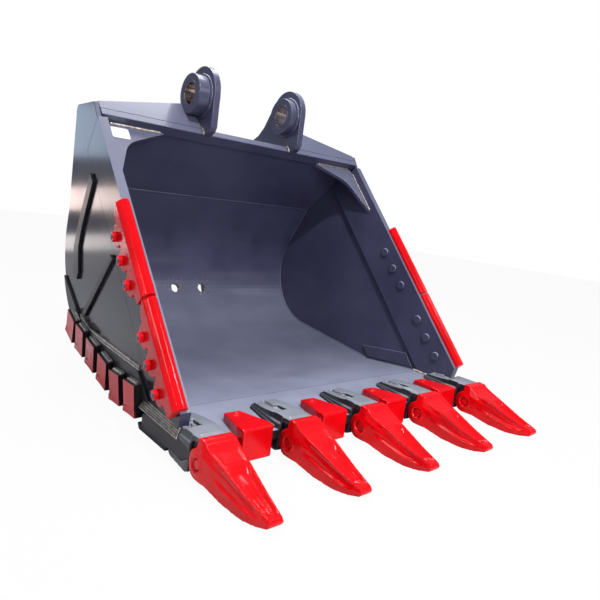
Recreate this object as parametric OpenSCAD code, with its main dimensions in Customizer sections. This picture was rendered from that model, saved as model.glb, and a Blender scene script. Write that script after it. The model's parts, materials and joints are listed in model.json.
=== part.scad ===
// Excavator rock bucket with bolted side protectors and pinned tooth tips.
// Millimetres, +Z up, mouth towards -Y, width along X.
// The origin is the centre of the stick pin bores.

/* [Body] */
// Outside width across the side bars at the mouth
body_w = 1740; // [1640:10:2100]
// Length of the mouth from the top lip to the foot of the side bars
mouth_len = 1512; // [1420:4:1640]
// Depth of the bowl behind the mouth line
bowl_depth = 1024; // [960:4:1120]
// Inside radius of the rolled back
bowl_r = 372; // [310:2:400]
// Lean of the mouth line from upright
mouth_lean = 41.9; // [40:0.1:44]
// Toe-in of each side plate towards the back
side_taper = 5; // [3:0.5:6]

/* [Plates] */
// Wrapper and floor plate
wrap_t = 25; // [20:1:32]
// Roof plate between the top lip and the wrapper
roof_t = 20; // [14:1:25]
// Thin rear part of each side
side_t = 22; // [16:1:28]
// Thick bar along the front of each side
bar_t = 43; // [34:1:50]
// Width of that bar
bar_w = 225; // [180:5:230]
// Top lip bar, height and depth
lip_bar_h = 40; // [34:1:50]
lip_bar_d = 60; // [45:1:80]
// Corner gusset plate
gusset_t = 20; // [12:1:30]
// Shoulder box plates
box_t = 16; // [10:1:20]

/* [Cutting edge] */
// Thickness of the lip plate
lip_t = 70; // [64:1:72]
// Depth of the lip plate in front of the floor plate
lip_len = 334; // [320:2:360]
// Wear plate under the lip
lip_wear_t = 26; // [16:1:30]

/* [Ears] */
// Clear distance between the two ear plates
ear_gap = 540; // [480:5:660]
// Ear plate thickness
ear_t = 38; // [30:1:46]
// Bore for the stick and link pins, in the bushes
pin_d = 110; // [90:1:115]
// Wall of each hardened bush
bush_wall = 12.5; // [8:0.5:14]
// Outside diameter of the stick pin bosses
boss_d = 205; // [190:1:215]
// Long end of each stick pin boss, outside the left ear and inside the right
boss_long_left = 72; // [50:1:90]
boss_long_right = 48; // [30:1:60]
// Short end of each stick pin boss, on the ear's other face
boss_short = 10; // [6:1:14]
// Distance from the stick pin to the link pin
link_reach = 525; // [500:1:560]
// Outside diameter of the link pin bosses
link_boss_d = 190; // [175:1:200]
// Link pin boss length inside and outside the ear plate
link_boss_in = 48; // [20:1:60]
link_boss_out = 50; // [40:1:80]

/* [Teeth] */
// Distance from the body side to the centre of the outer tooth
tooth_inset = 66; // [60:1:90]
// Width of a tooth over its side ears
tooth_w = 156; // [130:1:164]
// Length of a tooth from its pin to its tip
tooth_len = 360; // [300:5:380]
// Retaining pin
tooth_pin_d = 36; // [28:1:40]
tooth_pin_len = 150; // [124:1:152]
// Recess for the pin end in each tooth ear
tooth_recess_d = 46; // [42:1:50]
// Width of a lip shroud
shroud_w = 140; // [110:1:150]

/* [Wear parts] */
// Thickness and nose depth of the side protectors
guard_t = 32; // [24:1:40]
guard_nose = 42; // [30:1:55]
// How far the nose covers the edge of the side bar
guard_in = 28; // [22:1:34]
// Bolts through the side bars
bolt_d = 24; // [20:1:27]
bolt_pitch = 120; // [110:1:130]
// Heel shroud thickness, width and height on the side
heel_t = 34; // [25:1:40]
heel_w = 126; // [90:1:140]
heel_h = 110; // [90:1:120]
// Thickness of the part of each heel shroud under the floor
heel_under = 26; // [18:1:34]
// Long straps under the floor
strap_w = 90; // [60:1:130]
strap_t = 50; // [40:1:55]

/* [Hidden] */
$fn = 48;
tilt = mouth_lean;
// Top lip corner, seen from the stick pin
tf = [-31, -167];
// Point at distance p down the mouth line and q behind it
function pq(p, q) = [tf[0] - p*sin(tilt) + q*cos(tilt), tf[1] - p*cos(tilt) - q*sin(tilt)];
function p_of(a) = -(a[0]-tf[0])*sin(tilt) - (a[1]-tf[1])*cos(tilt);
function q_of(a) = (a[0]-tf[0])*cos(tilt) - (a[1]-tf[1])*sin(tilt);
// The same point laid out on the toed-in side plate
function flat(a) = pq(p_of(a), q_of(a)/cos(side_taper));
function unit(a) = a/norm(a);

// Bowl profile: roof, straight back, rolled back, heel, floor
bowl_c = pq(0.3087*mouth_len, bowl_depth - bowl_r);
seam = pq(roof_t, 0.499*bowl_depth);
knuckle = pq(0.781*mouth_len, 0.5235*bowl_depth);
floor_end = pq(0.9312*mouth_len, 235);
seam_v = seam - bowl_c;
arc_top = atan2(seam_v[1], seam_v[0]) - acos(bowl_r/norm(seam_v));
knuckle_v = knuckle - bowl_c;
arc_low = atan2(knuckle_v[1], knuckle_v[0]) + acos(bowl_r/norm(knuckle_v));
arc_n = 26;
function on_arc(a, r) = bowl_c + r*[cos(a), sin(a)];
function bowl_arc(r, a0, a1, n) = [for (i = [0:n]) on_arc(a0 + (a1-a0)*i/n, r)];
back_n = [cos(arc_top), sin(arc_top)];
heel_n = [cos(arc_low), sin(arc_low)];
floor_v = unit(knuckle - floor_end);
floor_n = [floor_v[1], -floor_v[0]];
// Offset corner at the knuckle
knuckle_n = unit(heel_n + floor_n);
function knuckle_at(t) = knuckle + knuckle_n*t/(knuckle_n*floor_n);
function bowl_line(t) = concat([seam + back_n*t], bowl_arc(bowl_r + t, arc_top, arc_low, arc_n),
    [knuckle_at(t), floor_end + floor_n*t + floor_v*weld_gap]);
// Gap left between welded plates
weld_gap = 0.1;
function turn(v) = [for (i = [len(v)-1:-1:0]) v[i]];

// Lip, with a forwards and b up from the top front corner of the lip plate
lip_rise = 13;
lip_o = floor_end + [-lip_len, -lip_rise];
function lp(a, b) = lip_o + [-a, b];
lip_tail = 60;
tail_top = floor_end + floor_n*wrap_t + floor_v*lip_tail;
bar_foot = lp(-100, lip_rise*100/lip_len);

tooth_n = 5;
tooth_pitch = (body_w - 2*tooth_inset)/(tooth_n - 1);
pin_a = 64;
pin_b = -31;
ear_arc_r = 56;
shoulder_a = 6;
nose_end = 185;
run_gap = 0.05;
fit_gap = 1;

ear_x = ear_gap/2;
ear_out = ear_x + ear_t;
link_lean = -26.5;
boss_reach = ear_out + max(boss_long_left, boss_short);
link_c = link_reach*[cos(link_lean), sin(link_lean)];
bush_d = pin_d + 2*bush_wall;

// Extrude a Y-Z outline along +X
module along_x(w) rotate([90, 0, 90]) linear_extrude(height = w) children();
// Extrude a Y-Z outline evenly about X = 0
module across(w) translate([-w/2, 0, 0]) along_x(w) children();
// Outer face of the left side plate is x = 0 in here
module on_left() translate([-body_w/2, tf[0], tf[1]])
    rotate(a = side_taper, v = [0, -sin(tilt), -cos(tilt)]) translate([0, -tf[0], -tf[1]]) children();
module on_right() mirror([1, 0, 0]) on_left() children();
// Local z runs down the mouth line and local y points out of the mouth
module down_edge(p) translate([0, pq(p, 0)[0], pq(p, 0)[1]]) rotate([180 - tilt, 0, 0]) children();

big = 4000;
// Space outside a plane t inside the left face
module past_side(t) {
    on_left() translate([-big, -big, -big]) cube([big + t, 2*big, 2*big]);
    on_right() translate([-big, -big, -big]) cube([big + t, 2*big, 2*big]);
}

// ---- sides ----
box_back_top = [290, -139];
box_back_low = on_arc(arc_top, bowl_r + wrap_t) + 0.38*norm(seam + back_n*wrap_t
    - on_arc(arc_top, bowl_r + wrap_t))*unit(seam + back_n*wrap_t - on_arc(arc_top, bowl_r + wrap_t));
corner_r = 45;
function side_rear() = concat([pq(-33, 0)],
    [for (a = [90:-15:0]) box_back_top + [-corner_r - 4 + corner_r*cos(a), -corner_r + corner_r*sin(a)]],
    [box_back_low],
    bowl_arc(bowl_r + wrap_t, arc_top, arc_low, arc_n), [knuckle_at(wrap_t), tail_top],
    [floor_end + floor_n*wrap_t + floor_v*6, floor_end + floor_v*6]);
bar_top = 60;
function bar_heel() = pq(p_of(floor_end) + 6, bar_w);
module side_plate() on_left() difference() {
    along_x(side_t) polygon([for (a = side_rear()) flat(a)]);
    translate([-1, 0, 0]) along_x(side_t + 2)
        polygon([pq(bar_top - weld_gap, -9), pq(bar_top - weld_gap, bar_w + weld_gap),
            pq(2*mouth_len, bar_w + weld_gap), pq(2*mouth_len, -9)]);
}
module side_bar() on_left() difference() {
    along_x(bar_t) polygon([pq(bar_top, 0), pq(bar_top, bar_w), bar_heel(), floor_end,
        lp(-110, lip_rise*110/lip_len), pq(mouth_len, 0)]);
    for (p = bolt_p) bolt_bore(p, bar_t);
}

// ---- shell ----
module wrapper() difference() {
    across(body_w) polygon(concat(bowl_line(0), turn(bowl_line(wrap_t))));
    past_side(side_t);
    for (s = [-1, 1]) translate([s*drain_x + drain_shift, bowl_c[0], bowl_c[1]]) rotate([drain_a - 90, 0, 0])
        cylinder(d = drain_d, h = 2*bowl_r);
}
drain_x = 98;
drain_shift = -14;
drain_a = -26;
drain_d = 56;
module roof() difference() {
    across(body_w) polygon([pq(0, lip_bar_d), pq(roof_t, lip_bar_d), seam, seam + back_n*wrap_t]);
    past_side(side_t);
}
module top_lip() difference() {
    across(body_w) polygon([pq(0, 0), pq(lip_bar_h, 0), pq(lip_bar_h, lip_bar_d), pq(0, lip_bar_d)]);
    past_side(side_t);
}
module cutting_edge() across(body_w) polygon([lp(0, 0), floor_end, floor_end + floor_n*(wrap_t + weld_gap),
    tail_top + floor_n*weld_gap, [tail_top[0], lip_o[1] - lip_t + 8], [tail_top[0] - 25, lip_o[1] - lip_t],
    lp(-55, -lip_t), lp(0, -38)]);
module lip_wear() across(body_w - 12) polygon([lp(-180, -lip_t), lp(-440, -lip_t),
    lp(-425, -lip_t - lip_wear_t), lp(-195, -lip_t - lip_wear_t)]);

// ---- shoulder boxes ----
shoulder_ear = 182;
shoulder_side = 37;
shoulder_run = body_w/2 - ear_out;
shoulder_rise = (shoulder_ear - shoulder_side)*cos(tilt);
shoulder_slope = atan(shoulder_rise/shoulder_run);
module boss_room() translate([-boss_reach - 1, 0, 0]) rotate([0, 90, 0])
    cylinder(d = boss_d + 1, h = 2*boss_reach + 2);
module shoulder_front() difference() {
    translate([0, tf[0], tf[1]]) rotate([-tilt, 0, 0]) rotate([90, 0, 0])
        translate([0, 0, -box_t]) linear_extrude(height = box_t)
        polygon([[-body_w/2, 0], [-ear_out, 0], [-ear_out, shoulder_ear], [-body_w/2, shoulder_side]]);
    past_side(side_t);
    boss_room();
}
module shoulder_top() difference() {
    translate([-body_w/2, 0, pq(-shoulder_side, 0)[1]]) rotate([0, -shoulder_slope, 0])
        translate([0, -200, -box_t]) cube([body_w, 1200, box_t]);
    translate([-ear_out, -big/2, -big/2]) cube([big, big, big]);
    // in front of the rear face of the front plate
    translate([-big/2, 0, 0]) along_x(big)
        polygon([pq(900, box_t), pq(-900, box_t), pq(-900, -900), pq(900, -900)]);
    // behind the front face of the back plate
    translate([-big/2, 0, 0]) along_x(big) polygon([box_back_low - [box_t + 4, 0],
        box_back_top - [box_t + 4, 0], box_back_top + [-box_t - 4, 600], [big, 600], [big, -900]]);
    past_side(side_t);
    boss_room();
}
module shoulder_back() difference() {
    translate([-body_w, 0, 0]) along_x(body_w - ear_out) polygon([box_back_low + [-4, 0],
        box_back_low - [box_t + 4, -14], box_back_top - [box_t + 4, 0] + [0, 90], box_back_top + [-4, 90]]);
    translate([-body_w/2, 0, pq(-shoulder_side, 0)[1]]) rotate([0, -shoulder_slope, 0])
        translate([-big/2, -big/2, 0]) cube([big, big, 600]);
    past_side(side_t);
    across(3*body_w) polygon(concat([pq(0, lip_bar_d)], bowl_line(wrap_t)));
}

// ---- corner gussets ----
gusset_q = 45;
gusset_leg_x = 330;
gusset_leg_p = 375;
gusset_elbow = [138, lip_bar_h + 112];
function gusset_toward(a) = gusset_elbow + 55*unit(a - gusset_elbow);
module corner_gusset() difference() {
    translate([0, pq(0, gusset_q)[0], pq(0, gusset_q)[1]]) rotate([-tilt, 0, 0]) mirror([0, 0, 1])
        rotate([90, 0, 0]) translate([0, 0, -gusset_t]) linear_extrude(height = gusset_t)
        translate([-body_w/2, 0]) polygon(concat([[0, lip_bar_h + 40], [70, lip_bar_h],
            [gusset_leg_x + 20, lip_bar_h], [gusset_leg_x + 20, lip_bar_h + 8]],
            [for (t = [0:0.2:1]) pow(1 - t, 2)*gusset_toward([gusset_leg_x + 20, lip_bar_h + 8])
                + 2*t*(1 - t)*gusset_elbow + t*t*gusset_toward([bar_t + 8, gusset_leg_p + 10])],
            [[bar_t + 8, gusset_leg_p + 10], [0, gusset_leg_p + 10]]));
    past_side(bar_t);
}

// ---- ears ----
function ear_outline() = concat(
    [for (a = [180:-12:24]) ear_c + ear_r*[cos(a), sin(a)]],
    [[178, 18], [222, -48], [275, -97], [330, -123], [385, -128]],
    [for (a = [105:-15:0]) link_c + link_r*[cos(a), sin(a)]],
    [link_c + [link_r - 6, -150], on_arc(arc_top, bowl_r + wrap_t) + [66, 120],
     on_arc(arc_top, bowl_r + wrap_t), seam + back_n*wrap_t, pq(0, lip_bar_d), pq(0, 0),
     pq(lip_bar_h, 0), pq(lip_bar_h + 16, -12), [-108, -182], [ear_c[0] - ear_r + 4, -158]]);
ear_c = [12, 16];
ear_r = 138;
link_r = 116;
module ear_plate() difference() {
    translate([ear_x, 0, 0]) along_x(ear_t) polygon(ear_outline());
    for (c = [[[0, 0], boss_d], [link_c, link_boss_d]])
        translate([0, c[0][0], c[0][1]]) rotate([0, 90, 0]) cylinder(d = c[1], h = body_w);
}
// A boss through one ear, reaching n inside it and o outside it
module boss(c, d, n, o) translate([ear_x - n, c[0], c[1]]) rotate([0, 90, 0]) difference() {
    cylinder(d = d, h = ear_t + n + o);
    translate([0, 0, -1]) cylinder(d = bush_d, h = ear_t + n + o + 2);
}
module bush(c, n, o) translate([ear_x - n, c[0], c[1]]) rotate([0, 90, 0]) difference() {
    cylinder(d = bush_d, h = ear_t + n + o);
    translate([0, 0, -1]) cylinder(d = pin_d, h = ear_t + n + o + 2);
}
tube_c = pq(-78, 330);
tube_d = 130;
module ear_tube() translate([-ear_x, tube_c[0], tube_c[1]]) rotate([0, 90, 0]) difference() {
    cylinder(d = tube_d, h = ear_gap);
    translate([0, 0, -1]) cylinder(d = tube_d - 32, h = ear_gap + 2);
}

// ---- side wear parts ----
bolt_q = 75;
guard_p = [564, 1040];
guard_len = 466;
bolt_first = 118;
bolt_p = [for (g = guard_p, i = [0:2]) g*mouth_len/1512 + bolt_first + i*bolt_pitch];
module bolt_bore(p, t) translate([-guard_t - 1, pq(p, bolt_q)[0], pq(p, bolt_q)[1]])
    rotate([0, 90, 0]) cylinder(d = bolt_d + 1, h = guard_t + t + 2);
module side_guard(g) on_left() difference() {
    union() {
        translate([-guard_t, 0, 0]) along_x(guard_t) union() {
            polygon([pq(guard_p[g]*mouth_len/1512, 0), pq(guard_p[g]*mouth_len/1512 + 24, 42),
                pq(guard_p[g]*mouth_len/1512 + bolt_first, 62),
                pq(guard_p[g]*mouth_len/1512 + bolt_first + 2*bolt_pitch, 62),
                pq(guard_p[g]*mouth_len/1512 + guard_len, 50), pq(guard_p[g]*mouth_len/1512 + guard_len, 0)]);
            for (i = [0:2]) translate(pq(bolt_p[3*g + i], bolt_q - 8)) circle(r = 52);
        }
        down_edge(guard_p[g]*mouth_len/1512) linear_extrude(height = guard_len)
            polygon([[-guard_t, -2], [0, -2], [0, 0], [guard_in, 0], [guard_in, 18], [guard_in - 12, guard_nose - 4],
                [2, guard_nose], [-guard_t + 16, guard_nose - 10], [-guard_t, 12]]);
    }
    for (i = [0:2]) bolt_bore(bolt_p[3*g + i], 0);
}
module side_bolt(p) translate([0, pq(p, bolt_q)[0], pq(p, bolt_q)[1]]) rotate([0, 90, 0]) {
    translate([0, 0, bar_t]) cylinder(d = 50, h = 14);
    translate([0, 0, -guard_t - 24]) cylinder(d = bolt_d, h = bar_t + guard_t + 24);
}
module side_nut(p) translate([-guard_t - 20, pq(p, bolt_q)[0], pq(p, bolt_q)[1]]) rotate([0, 90, 0])
    difference() {
        cylinder(d = 44, h = 20, $fn = 6);
        translate([0, 0, -1]) cylinder(d = bolt_d + 0.2, h = 22);
    }
module side_bolts() on_left() for (p = bolt_p) side_bolt(p);
module side_nuts() on_left() for (p = bolt_p) side_nut(p);

strip_t = 14;
// Two flat wear strips, laid out as distances down the mouth line and behind it
strip_back = [[200, 231], [256, 227], [284, 406], [309, 539], [340, 640], [437, 734], [450, 786],
    [399, 812], [290, 712], [259, 608], [235, 470], [210, 284]];
strip_low = [[660, 240], [692, 228], [667, 796], [632, 846]];
module side_strips() on_left() for (line = [strip_back, strip_low])
    translate([-strip_t, 0, 0]) along_x(strip_t) polygon([for (a = line)
        pq(a[0]*mouth_len/1512, a[0] == 692 || a[0] == 660 ? max(a[1], bar_w + 3) : a[1]*bowl_depth/1024)]);
side_wear_t = 12;
module side_wear() on_left() translate([-side_wear_t, 0, 0]) along_x(side_wear_t) difference() {
    polygon([for (a = concat([floor_end + [150, 120], floor_end + [840, 104], floor_end + [1010, 148]],
        [for (i = [10:arc_n]) on_arc(arc_top + (arc_low - arc_top)*i/arc_n, bowl_r + wrap_t - 14)],
        [knuckle_at(wrap_t - 14), tail_top + [20, 22], tail_top + [-40, 40]])) flat(a)]);
}
// Point at distance v along the floor from a and n above it
function above(a, v, n) = a + floor_v*v - floor_n*n;
module inner_liner() on_left() translate([side_t, 0, 0]) along_x(12) polygon([for (a = [
    above(floor_end, 29.4, 8.5), above(floor_end, 83, 85.4), above(knuckle, 37.8, 77.5),
    above(knuckle, -1.8, 23.9), above(knuckle, -1.2, 14), above(floor_end, 35.2, 11)]) flat(a)]);

// ---- heel shrouds ----
// Six places round the bottom corner: a point on the outer face and the direction rearwards
heel_run0 = norm(knuckle - floor_end);
heel_run1 = norm(on_arc(arc_low, bowl_r + wrap_t) - knuckle_at(wrap_t));
heel_v = [-heel_n[1], heel_n[0]];
function heel_place(s) = s < heel_run0
    ? [floor_end + floor_n*wrap_t + floor_v*s, atan2(floor_v[1], floor_v[0])]
    : s < heel_run0 + heel_run1
    ? [knuckle_at(wrap_t) + heel_v*(s - heel_run0), atan2(heel_v[1], heel_v[0])]
    : let (a = arc_low + (s - heel_run0 - heel_run1)/(bowl_r + wrap_t)*180/PI)
      [on_arc(a, bowl_r + wrap_t), a + 90];
heel_first = 155;
heel_pitch = 187;
heel_at = [for (i = [0:5]) heel_place(heel_first + i*heel_pitch)];
module heel_shroud(h) {
    on_left() translate([-side_wear_t - heel_t, flat(h[0])[0], flat(h[0])[1]]) rotate([h[1], 0, 0])
        translate([0, -heel_w/2, -heel_under]) along_x(heel_t)
        polygon([[0, 0], [heel_w, 0], [heel_w, heel_h + heel_under], [0, heel_h + heel_under]]);
    translate([-body_w/2 + q_of(h[0])*tan(side_taper) - side_wear_t - heel_t, h[0][0], h[0][1]])
        rotate([h[1], 0, 0]) translate([0, -heel_w/2, -heel_under])
        cube([side_wear_t + heel_t + 110, heel_w, heel_under - weld_gap]);
}
module heel_shrouds() for (h = heel_at) heel_shroud(h);
module heel_straps() for (x = [-1.5, -0.5, 0.5, 1.5]) translate([x*body_w/5.2, 0, 0]) across(strap_w)
    polygon(concat([tail_top + 14*floor_v + weld_gap*floor_n, knuckle_at(wrap_t + weld_gap)],
        [for (i = [arc_n:-1:8]) on_arc(arc_top + (arc_low - arc_top)*i/arc_n, bowl_r + wrap_t + weld_gap)],
        [for (i = [10:arc_n]) on_arc(arc_top + (arc_low - arc_top)*i/arc_n, bowl_r + wrap_t + strap_t)],
        [knuckle_at(wrap_t + strap_t), tail_top + [40, -strap_t]]));

// ---- adapters, teeth and lip shrouds ----
function tooth_x(i) = (i - 2)*tooth_pitch;
// Plan outlines are drawn with x across and y forwards from the lip
module plan(c) translate([c, lip_o[0], -big/2]) mirror([0, 1, 0]) linear_extrude(height = big) children();
// Front outlines are drawn with x across and b upwards from the lip
module front(c) translate([c, lip_o[0] + 400, lip_o[1]]) rotate([90, 0, 0]) linear_extrude(height = 1000)
    children();
module crown(i, w) front(tooth_x(i)) polygon([[-w/2, -150], [-w/2, 8], [-w/2 + 14, 60], [w/2 - 14, 60],
    [w/2, 8], [w/2, -150]]);
module nose(i, g) intersection() {
    translate([tooth_x(i) - 100, 0, 0]) along_x(200) polygon([lp(shoulder_a, 30 + g), lp(60, 30 + g),
        lp(nose_end, -18 + g), lp(nose_end, -60 - g), lp(60, -68 - g), lp(shoulder_a, -70 - g)]);
    plan(tooth_x(i)) polygon([[-52 - g, shoulder_a], [-52 - g, 90], [-36 - g, nose_end],
        [36 + g, nose_end], [52 + g, 90], [52 + g, shoulder_a]]);
}
foot_y = min(lp(-96, 0)[0], pq(mouth_len, 0)[0] - 8);
module adapter(i) difference() {
    union() {
        intersection() {
            translate([tooth_x(i) - 100, 0, 0]) along_x(200) polygon([
                lp(-232, 232*lip_rise/lip_len), lp(-232, 22), lp(-200, 42), lp(-60, 53), lp(45, 54),
                lp(45, 31), lp(shoulder_a, 31), lp(shoulder_a, -84), lp(-12, -92), lp(-150, -92),
                lp(-172, -82), lp(-172, -lip_t), lp(-55, -lip_t), lp(0, -38), lp(0, 0)]);
            plan(tooth_x(i)) polygon([[-48, -240], [-62, -150], [-75, -20], [-75, 10], [-62, 12], [-62, 60],
                [62, 60], [62, 12], [75, 10], [75, -20], [62, -150], [48, -240]]);
            crown(i, 150);
        }
        nose(i, 0);
    }
    // pocket for lifting and the pin bore
    translate([tooth_x(i) - 17, lp(-60, 0)[0], lp(0, 36)[1]]) cube([34, 70, 60]);
    translate([-big, lp(pin_a, 0)[0], lp(0, pin_b)[1]]) rotate([0, 90, 0])
        cylinder(d = tooth_pin_d + 2*run_gap, h = 2*big);
    // the feet of the side bars stand beside the outer adapters
    for (s = [0, 1]) mirror([s, 0, 0]) on_left() translate([-300, 0, 0]) along_x(300 + bar_t + 1)
        polygon([[foot_y, lip_o[1]], [foot_y, lip_o[1] + 300], lp(-400, 300), lp(-400, 0)]);
}
tooth_fall = 46/360*tooth_len;
// Keeps what lies inside the sloping flank, which opens downwards and closes in towards the tip
flank_in = 13;
flank_out = 18;
module flank() translate([tooth_w/2 - 14, lp(84, 0)[0], lp(0, 55)[1]]) rotate([0, 0, -flank_in])
    rotate([0, -flank_out, 0]) translate([-big, -big/2, -big/2]) cube([big, big, big]);
module tooth(i) difference() {
    intersection() {
        translate([tooth_x(i) - tooth_w, 0, 0]) along_x(2*tooth_w) polygon(concat(
            [lp(62, 60), lp(47, 58)],
            [for (a = [107:12:263]) lp(pin_a + ear_arc_r*cos(a), pin_b + ear_arc_r*sin(a))],
            [lp(120, -87), lp(205, -83 - tooth_fall/2), lp(300, -66 - tooth_fall), lp(370, -59 - tooth_fall),
             lp(pin_a + tooth_len - 8, -47 - tooth_fall), lp(pin_a + tooth_len, -34 - tooth_fall),
             lp(pin_a + tooth_len - 6, -18 - tooth_fall), lp(320, 10 - tooth_fall), lp(205, 7), lp(130, 33),
             lp(84, 55)]));
        plan(tooth_x(i)) polygon([[-tooth_w/2 + 4, 0], [-tooth_w/2, 30], [-tooth_w/2, 90],
            [-tooth_w/2 + 14, 200], [-50, 330], [-30, pin_a + tooth_len + 1], [30, pin_a + tooth_len + 1],
            [50, 330], [tooth_w/2 - 14, 200], [tooth_w/2, 90], [tooth_w/2, 30], [tooth_w/2 - 4, 0]]);
        crown(i, tooth_w);
        translate([tooth_x(i), 0, 0]) flank();
        translate([tooth_x(i), 0, 0]) mirror([1, 0, 0]) flank();
    }
    intersection() {
        nose(i, fit_gap);
        translate([-big/2, lp(nose_end, 0)[0], -big/2]) cube([big, big, big]);
    }
    // open the socket towards the adapter
    translate([tooth_x(i) - 52 - fit_gap, lp(62, 0)[0], lp(0, -70 - fit_gap)[1]])
        cube([104 + 2*fit_gap, 80, 101 + 2*fit_gap]);
    translate([-big, lp(pin_a, 0)[0], lp(0, pin_b)[1]]) rotate([0, 90, 0])
        cylinder(d = tooth_pin_d + 2*run_gap, h = 2*big);
    for (s = [-1, 1]) translate([tooth_x(i) + s*(tooth_w/2 + 2), lp(pin_a, 0)[0], lp(0, pin_b)[1]])
        rotate([0, 90, 0]) cylinder(d = tooth_recess_d, h = 20, center = true);
}
module tooth_pin(i) translate([tooth_x(i) - tooth_pin_len/2, lp(pin_a, 0)[0], lp(0, pin_b)[1]])
    rotate([0, 90, 0]) cylinder(d = tooth_pin_d, h = tooth_pin_len);
module lip_shroud(i) let (c = (i - 1.5)*tooth_pitch) {
    intersection() {
        translate([c - 100, 0, 0]) along_x(200) polygon([lp(-168, 168*lip_rise/lip_len), lp(-168, 20),
            lp(-150, 40), lp(-20, 45), lp(30, 45), lp(36, 38), lp(36, -82), lp(28, -88), lp(-20, -92),
            lp(-95, -92), lp(-105, -84), lp(-105, -lip_t), lp(-55, -lip_t), lp(0, -38), lp(0, 0)]);
        plan(c) polygon([[-22, -170], [-38, -150], [-52, -80], [-shroud_w/2, -10], [-shroud_w/2, 60],
            [shroud_w/2, 60], [shroud_w/2, -10], [52, -80], [38, -150], [22, -170]]);
    }
    translate([c, lp(-118, 0)[0], lp(0, 36)[1]]) cylinder(d = 26, h = 14);
}

steel = [0.23, 0.24, 0.31];
red = [0.85, 0.06, 0.08];
grey = [0.45, 0.48, 0.52];
bright = [0.7, 0.68, 0.64];

color(steel) side_plate();  // side_plate_left
color(steel) mirror([1, 0, 0]) side_plate();  // side_plate_right
color(steel) side_bar();  // side_bar_left
color(steel) mirror([1, 0, 0]) side_bar();  // side_bar_right
color(steel) wrapper();  // wrapper_plate
color(steel) roof();  // roof_plate
color(steel) top_lip();  // top_lip_bar
color(steel) cutting_edge();
color(steel) lip_wear();  // lip_wear_plate
color(steel) shoulder_front();  // shoulder_front_left
color(steel) mirror([1, 0, 0]) shoulder_front();  // shoulder_front_right
color(steel) shoulder_top();  // shoulder_top_left
color(steel) mirror([1, 0, 0]) shoulder_top();  // shoulder_top_right
color(steel) shoulder_back();  // shoulder_back_left
color(steel) mirror([1, 0, 0]) shoulder_back();  // shoulder_back_right
color(steel) corner_gusset();  // corner_gusset_left
color(steel) mirror([1, 0, 0]) corner_gusset();  // corner_gusset_right
color(steel) mirror([1, 0, 0]) ear_plate();  // ear_left
color(steel) ear_plate();  // ear_right
color(steel) {  // stick_pin_bosses
    mirror([1, 0, 0]) boss([0, 0], boss_d, boss_short, boss_long_left);
    boss([0, 0], boss_d, boss_long_right, boss_short);
}
color(steel) for (s = [0, 1]) mirror([s, 0, 0])  // link_pin_bosses
    boss(link_c, link_boss_d, link_boss_in, link_boss_out);
color(bright) {  // stick_pin_bushes
    mirror([1, 0, 0]) bush([0, 0], boss_short, boss_long_left);
    bush([0, 0], boss_long_right, boss_short);
}
color(bright) for (s = [0, 1]) mirror([s, 0, 0])  // link_pin_bushes
    bush(link_c, link_boss_in, link_boss_out);
color(steel) ear_tube();
color(steel) side_strips();  // side_strips_left
color(steel) mirror([1, 0, 0]) side_strips();  // side_strips_right
color(steel) side_wear();  // side_wear_left
color(steel) mirror([1, 0, 0]) side_wear();  // side_wear_right
color(steel) inner_liner();  // inner_liner_left
color(steel) mirror([1, 0, 0]) inner_liner();  // inner_liner_right
color(red) heel_shrouds();  // heel_shrouds_left
color(red) mirror([1, 0, 0]) heel_shrouds();  // heel_shrouds_right
color(steel) heel_straps();
color(grey) adapter(0);  // adapter_1
color(grey) adapter(1);  // adapter_2
color(grey) adapter(2);  // adapter_3
color(grey) adapter(3);  // adapter_4
color(grey) adapter(4);  // adapter_5
color(red) tooth(0);  // tooth_1
color(red) tooth(1);  // tooth_2
color(red) tooth(2);  // tooth_3
color(red) tooth(3);  // tooth_4
color(red) tooth(4);  // tooth_5
color(bright) tooth_pin(0);  // tooth_pin_1
color(bright) tooth_pin(1);  // tooth_pin_2
color(bright) tooth_pin(2);  // tooth_pin_3
color(bright) tooth_pin(3);  // tooth_pin_4
color(bright) tooth_pin(4);  // tooth_pin_5
color(red) lip_shroud(0);  // lip_shroud_1
color(red) lip_shroud(1);  // lip_shroud_2
color(red) lip_shroud(2);  // lip_shroud_3
color(red) lip_shroud(3);  // lip_shroud_4
color(red) side_guard(0);  // guard_upper_left
color(red) side_guard(1);  // guard_lower_left
color(red) mirror([1, 0, 0]) side_guard(0);  // guard_upper_right
color(red) mirror([1, 0, 0]) side_guard(1);  // guard_lower_right
color(red) side_bolts();  // side_bolts_left
color(red) mirror([1, 0, 0]) side_bolts();  // side_bolts_right
color(red) side_nuts();  // side_nuts_left
color(red) mirror([1, 0, 0]) side_nuts();  // side_nuts_right
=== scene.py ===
import json
import math
import bpy
import bmesh
import numpy as np
from mathutils import Matrix, Vector


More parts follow.
